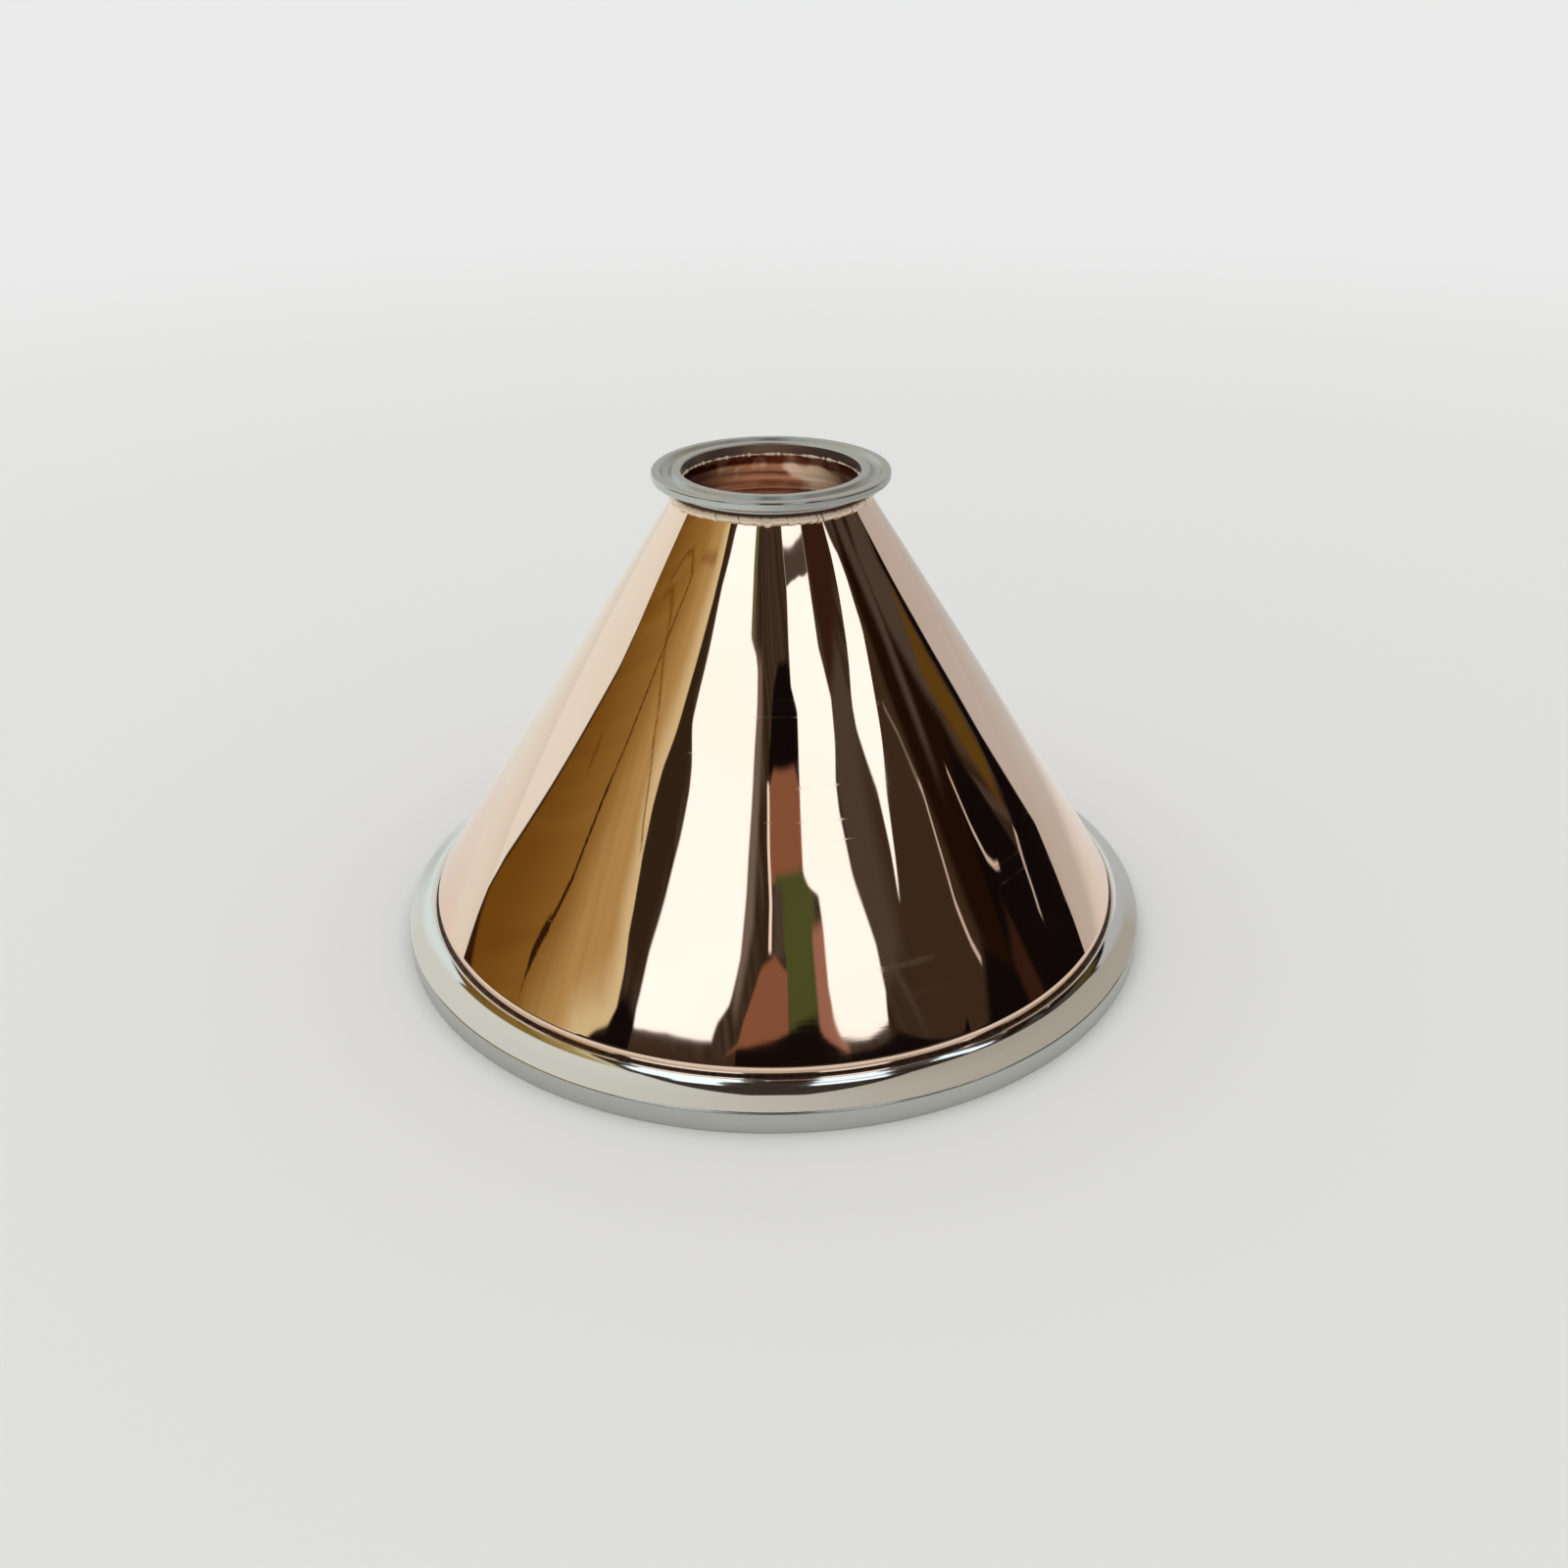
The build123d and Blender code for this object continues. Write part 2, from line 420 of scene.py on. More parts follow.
# %% Warm card
CARD_LIGHT = (0.345, 0.220, 0.055, 1.0)
CARD_DEEP = (0.165, 0.080, 0.009, 1.0)
CARD_RIGHT = (0.46, 0.345, 0.135, 1.0)
CARD_EDGE = (0.80, 0.78, 0.52, 1.0)
CARD_CREASE = (0.034, 0.014, 0.005, 1.0)
CARD_FOOT = -0.8

card_left = upright([
    (-0.8, -116), (0, -117.2), (1.5, -117), (4, -115.2), (7, -113), (10, -111.2), (13, -109.3),
    (15.5, -107.8), (17, -108.2), (18.6, -111), (21, -113),
])
card_right = upright([
    (18, -62), (20, -57.5), (21.2, -54), (22.4, -52.7), (23.4, -53.2), (24.4, -55), (25.6, -56),
    (26.6, -58.2), (28.4, -59.6), (30, -59.5), (32, -57.8), (35.5, -56.3), (38, -54.4), (43, -53.6),
])
seam_line = upright([
    (11.3, -85.6), (12, -86.8), (13.4, -86.2), (15, -84.8), (17, -83.6), (20, -84), (24, -82.8),
    (28.2, -81.6), (31.5, -79.8),
])
seam_line = seam_line + (wander(height * 1.4, 3.0) - 0.5) * 1.6
card_depth = (height * 0.5 + azimuth * 0.45).ease(-50.0, -10.0)
card_depth = card_depth + (wander(azimuth * 0.08 - height * 0.16) - 0.5) * 0.35
card_sheen = right_of(seam_line + 7.0, 7.0) * (0.45 + wander(azimuth * 0.05 + height * 0.06))
card_glow = right_of(card_right - 5.0, 4.5) * 0.7
card_shade = card_sheen.tint(card_depth.tint(CARD_DEEP, CARD_LIGHT), CARD_RIGHT)
card_shade = card_glow.tint(card_shade, CARD_EDGE)
card = right_of(card_left, 0.3) * left_of(card_right, 0.3) * above(CARD_FOOT, 0.2)
inner_card = right_of(card_left + 0.9, 0.5) * above((azimuth + 117.0) * 0.18 + 0.2, 0.3)
paint(card, CARD_CREASE)
paint(card * inner_card, card_shade)
line(CARD_CREASE, seam_line, 11.3, 31.6, 0.30)
line(CARD_CREASE, seam_line, 12.0, 21.0, 0.50)
line(CARD_CREASE, seam_line, 11.8, 14.4, 1.0)
sway = (wander(azimuth * 0.5, 3.0) - 0.5) * 1.2
long_fold = level([
    (-99, 23), (-93, 25.8), (-86, 27.6), (-78, 28.3), (-72, 28.7), (-66, 28.2), (-60, 26.6),
])
long_fold = long_fold + sway
short_fold = level([(-99, 23.4), (-93, 27.2), (-87, 29.8), (-80, 31.4)]) + sway * 0.6
patch(CARD_DEEP, -99.0, -59.5, long_fold - 0.16, long_fold + 0.16, 0.25)
patch(CARD_DEEP, -99.0, -79.5, short_fold - 0.14, short_fold + 0.14, 0.25)
smear = level([(-76, 33.6), (-70, 35.6), (-61, 38.2)]) + sway * 0.5
patch(CARD_DEEP, -76.0, -61.0, smear - 0.10, smear + 0.10, 0.5)
patch(CARD_DEEP, -99.3, -97.2, 15.4, 16.7, 0.6)
print("warm card painted in", len(sky.nodes), "nodes")

# %% [markdown]
# The softboxes go over all that, and then the pale surround closes the studio at both sides and
# overhead. It is cooler and lighter on the left, warmer and darker on the right, with a greyer
# stretch behind the object for the flat faces to reflect. Its lower edge slants down towards the
# back, so that the cone's rear shows one long pale sweep and no level line.

# %% Softboxes and pale surround
PALE_LEFT = (0.85, 0.955, 0.945, 1.0)
PALE_RIGHT = (0.54, 0.56, 0.57, 1.0)
TOP_LEFT = (0.80, 0.81, 0.745, 1.0)
TOP_RIGHT = (0.48, 0.44, 0.375, 1.0)
GREY_BACK = (0.58, 0.59, 0.565, 1.0)

paint(first_box, SOFTBOX)
paint(second_box, SOFTBOX)
paint(second_box * gap, UMBER)
paint(third_box, SOFTBOX)
sideways = along_x.ease(-0.7, 0.7)
top_pale = sideways.tint(TOP_LEFT, TOP_RIGHT)
side_pale = above(21.0, 8.0).tint(sideways.tint(PALE_LEFT, PALE_RIGHT), top_pale)
paint(left_of(card_left, 0.35), side_pale)
paint(right_of(pale_edge, 0.45), side_pale)
patch(GREY_BACK, 150.0, 200.0, 6.0, 58.0, 9.0)
patch(GREY_BACK, -200.0, -150.0, 6.0, 58.0, 9.0)
ceiling = level([
    (-180, 24), (-112, 22.5), (-100, 28.5), (-90, 33.5), (-80, 37.5), (-70, 41), (-60, 44),
    (-50, 50), (-44, 84), (44, 84), (52, 50), (60, 45), (70, 41.5), (80, 38), (90, 33.5),
    (100, 29), (112, 22.5), (180, 24),
])
paint(above(ceiling, 1.0), top_pale)
print("whole studio painted in", len(sky.nodes), "nodes")

# %% [markdown]
# The last step of the studio says who sees what. Camera rays see the plain pale backdrop, glossy
# rays see the chart, and the rest see an even dome at the level where a colour renders as it is
# written. A Mix Shader chooses, and not a Mix of colours, because a renderer skips the shader that
# a ray doesn't need, and the chart is slow. One wide soft lamp gives the floor's shadow some shape.

# %% Dome, backdrop and lamp
BACKDROP = colour(235, 236, 235)
DOME = (0.95, 0.95, 0.95, 1.0)
rays = start.node("ShaderNodeLightPath", out="Is Camera Ray")
plain = start.node("ShaderNodeBackground", sockets={"Color": rays.tint(DOME, BACKDROP)})
chart = start.node("ShaderNodeBackground", sockets={"Color": studio})
choice = {0: rays.output("Is Glossy Ray"), 1: plain, 2: chart}
seen = start.node("ShaderNodeMixShader", sockets=choice)
sky.links.new(seen.socket, sky.nodes.new("ShaderNodeOutputWorld").inputs["Surface"])

LAMP_WIDTH = 0.9
LAMP_POWER = 1.2
LAMP_PLACE = (-0.35, -0.15, 1.3)


def add_lamp(name, shape, width, power, place):
    """An area lamp that lights the object and is neither seen nor mirrored."""
    data = bpy.data.lights.new(name, "AREA")
    data.shape = shape
    data.size = width
    data.energy = power
    lamp = bpy.data.objects.new(name, data)
    lamp.location = place
    lamp.rotation_euler = Vector(place).to_track_quat("Z", "Y").to_euler()
    lamp.visible_glossy = False
    lamp.visible_camera = False
    bpy.context.scene.collection.objects.link(lamp)
    print(name, "of", power, "W at", place)


add_lamp("overhead_softbox", "SQUARE", LAMP_WIDTH, LAMP_POWER, LAMP_PLACE)

# %% [markdown]
# Little of that light finds its way down through a 48 mm bore, and the copper inside would render
# black. A small disk lamp just under the bore stands for the daylight that falls in.

# %% Light that falls into the bore
BORE_LAMP_WIDTH = 0.036
BORE_LAMP_POWER = 0.11
BORE_LAMP_PLACE = (0.0, 0.0, 0.124)
add_lamp("light_in_the_bore", "DISK", BORE_LAMP_WIDTH, BORE_LAMP_POWER, BORE_LAMP_PLACE)

# %% [markdown]
# The finishes have much in common, so that comes first: where a point is, how far it is from the
# axis, and the fine rings that a lathe or a polishing wheel leaves. Rings follow the radius
# on a flat face and height on an upright wall, so the sum of both serves every surface here. The
# height counts for more, because on the cone the one grows as the other shrinks.

# %% Helpers that every finish shares
RING_CLIMB = 1.37


def new_finish(name):
    """A material with a Principled shader, and a Flow that starts from object coordinates."""
    material = bpy.data.materials.new(name)
    material.use_nodes = True
    shader = material.node_tree.nodes["Principled BSDF"]
    place = Flow(material.node_tree).node("ShaderNodeTexCoord", out="Object")
    return material, shader, place


def fill(shader, values):
    """Sets or links the shader's sockets by name."""
    for name, value in values.items():
        if isinstance(value, Flow):
            value.tree.links.new(value.socket, shader.inputs[name])
        else:
            shader.inputs[name].default_value = value


def noise(place, scale, detail=2.0):
    """Noise between zero and one, with the scale in features per metre."""
    sockets = {"Vector": place, "Scale": scale, "Detail": detail}
    return place.node("ShaderNodeTexNoise", sockets=sockets)


def apart(place):
    """The three numbers of a place."""
    x = place.node("ShaderNodeSeparateXYZ", sockets={"Vector": place})
    return x, x.output("Y"), x.output("Z")


def from_axis(x, y):
    """Distance from the upright axis that every piece was turned around."""
    square = x * x + y * y
    return square.math("SQRT", square)


def ring_space(place, around, across):
    """Coordinates that run slowly around the axis and fast across the rings."""
    x, y, z = apart(place)
    spread = from_axis(x, y) + z * RING_CLIMB
    sockets = {"X": x * around, "Y": y * around, "Z": spread * across}
    return place.node("ShaderNodeCombineXYZ", sockets=sockets)


def bumpy(height_map, strength, distance):
    """Fine relief, with the distance in metres."""
    sockets = {"Strength": strength, "Distance": distance, "Height": height_map}
    return height_map.node("ShaderNodeBump", sockets=sockets)


print("finish helpers ready")

# %% [markdown]
# Floor: a plain pale table that runs out to the horizon. A curved paper sweep would do as well, but
# the camera looks down so steeply that the flat floor fills the picture anyway. It is painted a
# little greyer near the object than far away, as a broad painted shade, which keeps the horizon
# from showing as a line. The metal mirrors a floor painted for reflections only, neutral close by
# and with the surround's tints further out.

# %% Floor
FLOOR_RADIUS = 30.0
FLOOR_SIDES = 96
FLOOR_NEAR = colour(224, 224, 222)
FLOOR_FAR = colour(239, 240, 239)
MIRRORED_NEAR = colour(232, 234, 231)
MIRRORED_LEFT = (0.81, 0.885, 0.86, 1.0)
MIRRORED_RIGHT = (0.55, 0.57, 0.56, 1.0)
FLOOR_FADE = (0.1, 1.7)
MIRRORED_FADE = (0.14, 0.30)
MIRRORED_SIDES = (-0.25, 0.25)
floor_mesh = bpy.data.meshes.new("floor")
corners = [(FLOOR_RADIUS * math.cos(a), FLOOR_RADIUS * math.sin(a), 0.0)
           for a in np.linspace(0, 2 * math.pi, FLOOR_SIDES, endpoint=False)]
floor_mesh.from_pydata(corners, [], [tuple(range(FLOOR_SIDES))])
floor = bpy.data.objects.new("floor", floor_mesh)
bpy.context.scene.collection.objects.link(floor)
floor_finish, floor_shader, floor_place = new_finish("pale_floor")
floor_x, floor_y, _ = apart(floor_place)
away = from_axis(floor_x, floor_y)
# Painted shade: greyer near the object than far away.
seen_floor = away.ease(*FLOOR_FADE).tint(FLOOR_NEAR, FLOOR_FAR)
far_floor = floor_x.ease(*MIRRORED_SIDES).tint(MIRRORED_LEFT, MIRRORED_RIGHT)
mirrored_floor = away.ease(*MIRRORED_FADE).tint(MIRRORED_NEAR, far_floor)
in_metal = floor_place.node("ShaderNodeLightPath", out="Is Glossy Ray")
floor_shade = in_metal.tint(seen_floor, mirrored_floor)
fill(floor_shader, {"Base Color": floor_shade, "Roughness": 0.7, "Specular IOR Level": 0.0})
floor_mesh.materials.append(floor_finish)
print("floor radius", FLOOR_RADIUS, "m")

# %% [markdown]
# Both ferrules, the seam and the cone are turned shapes. Blender's Screw modifier could spin them,
# but a direct ring of quads gives control over how densely each stretch is divided, and a closed
# outline gives a closed mesh. Corners are rounded by real arcs, with an extra ring close beside
# each arc, so that smooth shading stays on the edge and doesn't smear over the flat next to it.


# %% Outlines with rounded corners
def rounded_outline(corners, arc_step=9.0, run_step=6.0, guard=0.12):
    """Closed outline through (radius, height, rounding) corners in millimetres."""
    points = []
    count = len(corners)
    for index, (radius, height_at, rounding) in enumerate(corners):
        corner = np.array((radius, height_at))
        before = np.array(corners[index - 1][:2]) - corner
        after = np.array(corners[(index + 1) % count][:2]) - corner
        before_way = before / np.linalg.norm(before)
        after_way = after / np.linalg.norm(after)
        half = math.acos(np.clip(before_way @ after_way, -1, 1)) / 2
        back_off = rounding / math.tan(half)
        first, last = corner + before_way * back_off, corner + after_way * back_off
        points.append(first + before_way * guard)
        points.append(first)
        middle_way = (before_way + after_way) / np.linalg.norm(before_way + after_way)
        centre = corner + middle_way * rounding / math.sin(half)
        swing = math.pi - 2 * half
        steps = max(2, math.ceil(math.degrees(swing) / arc_step))
        turn = np.sign(before_way[0] * after_way[1] - before_way[1] * after_way[0])
        spoke = first - centre
        for step in range(1, steps):
            angle = -turn * swing * step / steps
            points.append(centre + np.array((
                spoke[0] * math.cos(angle) - spoke[1] * math.sin(angle),
                spoke[0] * math.sin(angle) + spoke[1] * math.cos(angle))))
        points.append(last)
        points.append(last + after_way * guard)
    return divided(points, run_step)


def divided(points, run_step):
    """Splits the long runs of a closed outline into equal shorter ones."""
    fine = []
    for here, there in zip(points, points[1:] + points[:1]):
        pieces = max(1, math.ceil(np.linalg.norm(there - here) / run_step))
        fine += [here + (there - here) * k / pieces for k in range(pieces)]
    return np.array(fine)


print("outlines are in millimetres, and meshes in metres")

# %% [markdown]
# An outline becomes a mesh by standing a copy of it at every turn around the axis and joining each
# to the next with quads. The signed area of the outline says which way round it was drawn, and the
# quads are flipped if they would face inward. Each finished piece is then tied to the imported model:
# the body it rides on and the node it stands for.


# %% Rings of quads
def ring_mesh(name, radii, heights):
    """Closed mesh from two arrays shaped (turns, outline points), in millimetres."""
    turns, count = radii.shape
    angles = np.linspace(0, 2 * math.pi, turns, endpoint=False)[:, None]
    places = np.stack([radii * np.cos(angles), radii * np.sin(angles), heights], axis=-1) * MM
    turn, step = np.meshgrid(np.arange(turns), np.arange(count), indexing="ij")
    next_turn, next_step = (turn + 1) % turns, (step + 1) % count
    quads = np.stack([turn * count + step, next_turn * count + step,
                      next_turn * count + next_step, turn * count + next_step], axis=-1)
    area = np.sum(radii[0] * np.roll(heights[0], -1) - np.roll(radii[0], -1) * heights[0])
    if area < 0:
        quads = quads[..., ::-1]
    mesh = bpy.data.meshes.new(name)
    mesh.from_pydata(places.reshape(-1, 3).tolist(), [], quads.reshape(-1, 4).tolist())
    mesh.polygons.foreach_set("use_smooth", np.ones(len(mesh.polygons), dtype=bool))
    mesh.update()
    return mesh


def turned_mesh(name, outline, turns):
    """Closed mesh of an outline that is the same all the way around."""
    return ring_mesh(name, np.tile(outline[:, 0], (turns, 1)), np.tile(outline[:, 1], (turns, 1)))


def add_piece(mesh, node):
    """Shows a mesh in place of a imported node, riding on the part's one body."""
    piece = bpy.data.objects.new(mesh.name, mesh)
    bpy.context.scene.collection.objects.link(piece)
    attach(piece, "root")
    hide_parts(node)
    solid = bmesh.new()
    solid.from_mesh(mesh)
    volume = solid.calc_volume(signed=True) / MM ** 3
    loose = sum(not side.is_manifold for side in solid.edges)
    solid.free()
    print(f"{mesh.name}: {len(mesh.polygons)} quads, {volume:.0f} mm3, {loose} open edges")


print("mesh helpers ready")

# %% [markdown]
# The cone is one sheet of copper, spun over a former: an upright skirt at the bottom, a straight
# wall and an upright collar at the top, with an even wall all the way. Spinning and polishing leave
# slow swells of a few hundredths of a millimetre. They can't be seen as shape, but they are what
# makes a reflected edge wander, so they are put into the mesh rather than painted on as bump.

# %% Spun copper cone
TOTAL_HEIGHT = 134.4
WALL = 1.2
LARGE_BORE = 98.6
SMALL_BORE = 24.0
SKIRT_RADIUS = LARGE_BORE + WALL
COLLAR_RADIUS = SMALL_BORE + WALL
SKIRT_BOTTOM = 10.7
SKIRT_TOP = 12.9
CONE_TOP = 129.2
COLLAR_TOP = 131.2
CONE_TURNS = 512
cone_angle = math.atan((SKIRT_RADIUS - COLLAR_RADIUS) / (CONE_TOP - SKIRT_TOP))
bend_shift = WALL * math.tan(cone_angle / 2)
cone_outline = rounded_outline([
    (SKIRT_RADIUS, SKIRT_BOTTOM, 0.05),
    (SKIRT_RADIUS, SKIRT_TOP, 2.4),
    (COLLAR_RADIUS, CONE_TOP, 1.0),
    (COLLAR_RADIUS, COLLAR_TOP, 0.05),
    (SMALL_BORE, COLLAR_TOP, 0.05),
    (SMALL_BORE, CONE_TOP - bend_shift, 2.2),
    (LARGE_BORE, SKIRT_TOP - bend_shift, 1.2),
    (LARGE_BORE, SKIRT_BOTTOM, 0.05),
], run_step=2.4)

SWELLS = 16
SWELL_SLOPE = 0.0022
CALM_BELOW = 2.0
CALM_ABOVE = 3.0
FADE_BELOW = 12.0
FADE_ABOVE = 10.0
swell_rng = np.random.default_rng(11)
angles = np.linspace(0, 2 * math.pi, CONE_TURNS, endpoint=False)[:, None]
swell = np.zeros((CONE_TURNS, len(cone_outline)))
for _ in range(SWELLS):
    lobes = swell_rng.integers(2, 15)
    climb = swell_rng.uniform(-0.06, 0.06)
    steepness = math.hypot(lobes / 60, 2 * math.pi * climb)
    phase = swell_rng.uniform(0, 2 * math.pi)
    wave = lobes * angles + 2 * math.pi * climb * cone_outline[:, 1] + phase
    swell += SWELL_SLOPE / steepness * np.cos(wave) / math.sqrt(SWELLS)
over_skirt = (cone_outline[:, 1] - SKIRT_TOP - CALM_BELOW) / FADE_BELOW
under_collar = (CONE_TOP - CALM_ABOVE - cone_outline[:, 1]) / FADE_ABOVE
fade = np.clip(over_skirt, 0, 1) * np.clip(under_collar, 0, 1)
swell *= fade * fade * (3 - 2 * fade)
cone_mesh = ring_mesh("cone_wall",
                      cone_outline[:, 0] + swell * math.cos(cone_angle),
                      cone_outline[:, 1] + swell * math.sin(cone_angle))
add_piece(cone_mesh, "reducer_cone")
print(f"swells reach {np.abs(swell).max():.3f} mm")

# %% [markdown]
# Polished copper is a metal with a pink-gold mirror colour and a very low roughness. What makes it
# real are the faults: a slight haze that comes and goes, and fine level marks from the polishing
# wheel that only show in some patches. They stay faint, or the softboxes' edges would blur.

# %% Copper outside
COPPER = (0.90, 0.665, 0.53, 1.0)
COPPER_WARM = (0.885, 0.64, 0.495, 1.0)
copper, copper_shader, spot = new_finish("polished_copper")
drift = noise(spot, 22.0, 3.0)
marks = noise(ring_space(spot, 30.0, 2600.0), 1.0, 2.0)
patches = noise(spot, 38.0, 2.0).ease(0.52, 0.70)
haze = noise(ring_space(spot, 12.0, 160.0), 1.0, 3.0).ease(0.4, 0.75)
scratches = noise(ring_space(spot, 18.0, 1100.0), 1.0, 2.0).ease(0.56, 0.70)
scuffs = scratches * noise(spot, 24.0, 2.0).ease(0.54, 0.68)
fill(copper_shader, {
    "Metallic": 1.0,
    "Base Color": drift.ease(0.3, 0.7).tint(COPPER, COPPER_WARM),
    "Roughness": 0.016 + haze * 0.012 + patches * marks * 0.03 + scuffs * 0.10,
    "Normal": bumpy(marks * patches, 0.014, 0.00005),
})
cone_mesh.materials.append(copper)
print("copper outside in", len(copper.node_tree.nodes), "nodes")

# %% [markdown]
# The inside of the wall was never polished. It keeps the spinning tool's rings, so it is rougher,
# browner and streaked. Bright patches near the top are painted highlights for the light that falls
# through the bore, and the wall is painted darker to the left and right as shade. Both finishes are
# on one mesh, and a face belongs inside if it looks towards the axis.

# %% Copper inside
# The bright colour is a painted highlight for light through the bore, and the flank colour is painted
# shade.
SPUN_DARK = (0.11, 0.028, 0.012, 1.0)
SPUN_LIGHT = (0.56, 0.23, 0.12, 1.0)
PAINTED_HIGHLIGHT = (1.0, 0.72, 0.51, 1.0)
SIDE_SHADE = (0.08, 0.020, 0.009, 1.0)
copper_inside, inside_shader, inside_spot = new_finish("spun_copper_inside")
rings = noise(ring_space(inside_spot, 14.0, 900.0), 1.0, 4.0)
broad = noise(ring_space(inside_spot, 45.0, 90.0), 1.0, 3.0)
sideward, _, upward_inside = apart(inside_spot)
# Painted highlight: bright patches only near the top, under the bore.
highlight_patches = noise(inside_spot, 62.0, 3.0).ease(0.50, 0.62)
highlight_patches = highlight_patches * upward_inside.ease(0.114, 0.128) * (0.5 + rings)
# Painted shade: the wall is darker to the left and right.
side_shade = sideward.math("ABSOLUTE", sideward).ease(0.012, 0.027) * 0.75
spun = (rings * 0.5 + broad * 0.5).ease(0.40, 0.60).tint(SPUN_DARK, SPUN_LIGHT)
fill(inside_shader, {
    "Metallic": 1.0,
    "Base Color": side_shade.tint(highlight_patches.tint(spun, PAINTED_HIGHLIGHT), SIDE_SHADE),
    "Roughness": 0.22 + broad * 0.14,
    "Normal": bumpy(rings, 0.30, 0.00012),
})
cone_mesh.materials.append(copper_inside)
centres = np.zeros(len(cone_mesh.polygons) * 3)
normals = np.zeros(len(cone_mesh.polygons) * 3)
cone_mesh.polygons.foreach_get("center", centres)
cone_mesh.polygons.foreach_get("normal", normals)
centres, normals = centres.reshape(-1, 3), normals.reshape(-1, 3)
inward = (centres[:, 0] * normals[:, 0] + centres[:, 1] * normals[:, 1]) < 0
cone_mesh.polygons.foreach_set("material_index", inward.astype(np.int32))
print("inside faces:", int(inward.sum()))

# %% [markdown]
# The large ferrule is a heavy turned ring: a satin rim, a 20 degree slope for the clamp, and a
# neck that leans in to meet the skirt through a wide hollow. The underside has the gasket groove.
# The lathe leaves it true, so unlike the cone it gets no swells. Where the slope and the leaning
# neck would cross is worked out from their two angles, and the hollow is rounded around that point.

# %% Large ferrule
LARGE_FLANGE = 108.7
LARGE_RIM = 6.15
LARGE_NECK_RADIUS = 101.15
LARGE_NECK_TOP = 10.45
NECK_LEAN = math.tan(math.radians(35.0))
BACK_SLOPE = math.tan(math.radians(20.0))
BORE_CHAMFER = 0.35
GROOVE_HALF = 1.7
GROOVE_DROP = GROOVE_HALF * math.tan(math.radians(55.0))
GROOVE_ROUNDING = 1.4
HOLLOW_ROUNDING = 7.8
FOOT_CHAMFER = 0.3
RING_TURNS = 640
slope_run = LARGE_FLANGE - LARGE_NECK_RADIUS - LARGE_NECK_TOP * NECK_LEAN
hollow_height = (LARGE_RIM + slope_run * BACK_SLOPE) / (1 - NECK_LEAN * BACK_SLOPE)
hollow_radius = LARGE_NECK_RADIUS + (LARGE_NECK_TOP - hollow_height) * NECK_LEAN
large_middle = (LARGE_BORE + LARGE_FLANGE) / 2
large_outline = rounded_outline([
    (LARGE_FLANGE, FOOT_CHAMFER, 0.1),
    (LARGE_FLANGE, LARGE_RIM, 0.8),
    (hollow_radius, hollow_height, HOLLOW_ROUNDING),
    (LARGE_NECK_RADIUS, LARGE_NECK_TOP, 0.1),
    (LARGE_BORE, LARGE_NECK_TOP, 0.05),
    (LARGE_BORE, BORE_CHAMFER, 0.1),
    (LARGE_BORE + BORE_CHAMFER, 0.0, 0.1),
    (large_middle - GROOVE_HALF, 0.0, 0.15),
    (large_middle, GROOVE_DROP, GROOVE_ROUNDING),
    (large_middle + GROOVE_HALF, 0.0, 0.15),
    (LARGE_FLANGE - FOOT_CHAMFER, 0.0, 0.1),
], guard=0.04)
large_mesh = turned_mesh("large_clamp_ferrule", large_outline, RING_TURNS)
add_piece(large_mesh, "large_ferrule")

# %% [markdown]
# The small ferrule is the same idea at a quarter of the size: a thin rim, a slope below it, a face
# with a round-bottomed gasket groove on top, and a bore that is stepped inside for the collar.

# %% Small ferrule
SMALL_FLANGE = 32.0
SMALL_RIM = 2.2
SMALL_NECK_WALL = 1.5
SMALL_NECK = 0.47
SMALL_RIM_BOTTOM = TOTAL_HEIGHT - SMALL_RIM
SMALL_NECK_RADIUS = COLLAR_RADIUS + SMALL_NECK_WALL
SMALL_SLOPE_BOTTOM = SMALL_RIM_BOTTOM - (SMALL_FLANGE - SMALL_NECK_RADIUS) * BACK_SLOPE
SMALL_NECK_BOTTOM = SMALL_SLOPE_BOTTOM - SMALL_NECK
SMALL_TURNS = 384
small_middle = (SMALL_BORE + SMALL_FLANGE) / 2
small_outline = rounded_outline([
    (SMALL_NECK_RADIUS, SMALL_NECK_BOTTOM, 0.05),
    (SMALL_NECK_RADIUS, SMALL_SLOPE_BOTTOM, 0.15),
    (SMALL_FLANGE, SMALL_RIM_BOTTOM, 0.6),
    (SMALL_FLANGE, TOTAL_HEIGHT, 0.6),
    (small_middle + GROOVE_HALF, TOTAL_HEIGHT, 0.15),
    (small_middle, TOTAL_HEIGHT - GROOVE_DROP, GROOVE_ROUNDING),
    (small_middle - GROOVE_HALF, TOTAL_HEIGHT, 0.15),
    (SMALL_BORE + BORE_CHAMFER, TOTAL_HEIGHT, 0.1),
    (SMALL_BORE, TOTAL_HEIGHT - BORE_CHAMFER, 0.1),
    (SMALL_BORE, COLLAR_TOP, 0.02),
    (COLLAR_RADIUS, COLLAR_TOP, 0.02),
    (COLLAR_RADIUS, SMALL_NECK_BOTTOM, 0.05),
], guard=0.03)
small_mesh = turned_mesh("small_clamp_ferrule", small_outline, SMALL_TURNS)
add_piece(small_mesh, "small_ferrule")

# %% [markdown]
# Stainless steel is a greyer, slightly warm mirror with fine turning rings. On the large ferrule
# the slope and the hollow are polished and the outer rim is left satin from the lathe. On the small
# one the face is satin and the outer rim is polished. Each change lies at one distance from the
# axis, so a ramp on that distance tells the two apart, and it runs backwards for the small one.

# %% Stainless steel
# The satin colour and the small ferrule's polished colour are darker than plain steel: a painted
# shade for the dim surroundings that they mirror. The satin itself is real and shows as roughness.
STEEL = (0.74, 0.715, 0.68, 1.0)
SHADED_STEEL = (0.50, 0.49, 0.465, 1.0)
SATIN_SHADED_STEEL = (0.50, 0.50, 0.465, 1.0)
LARGE_SATIN = (0.1084, 0.1086)
SMALL_SATIN = (0.0314, 0.0310)


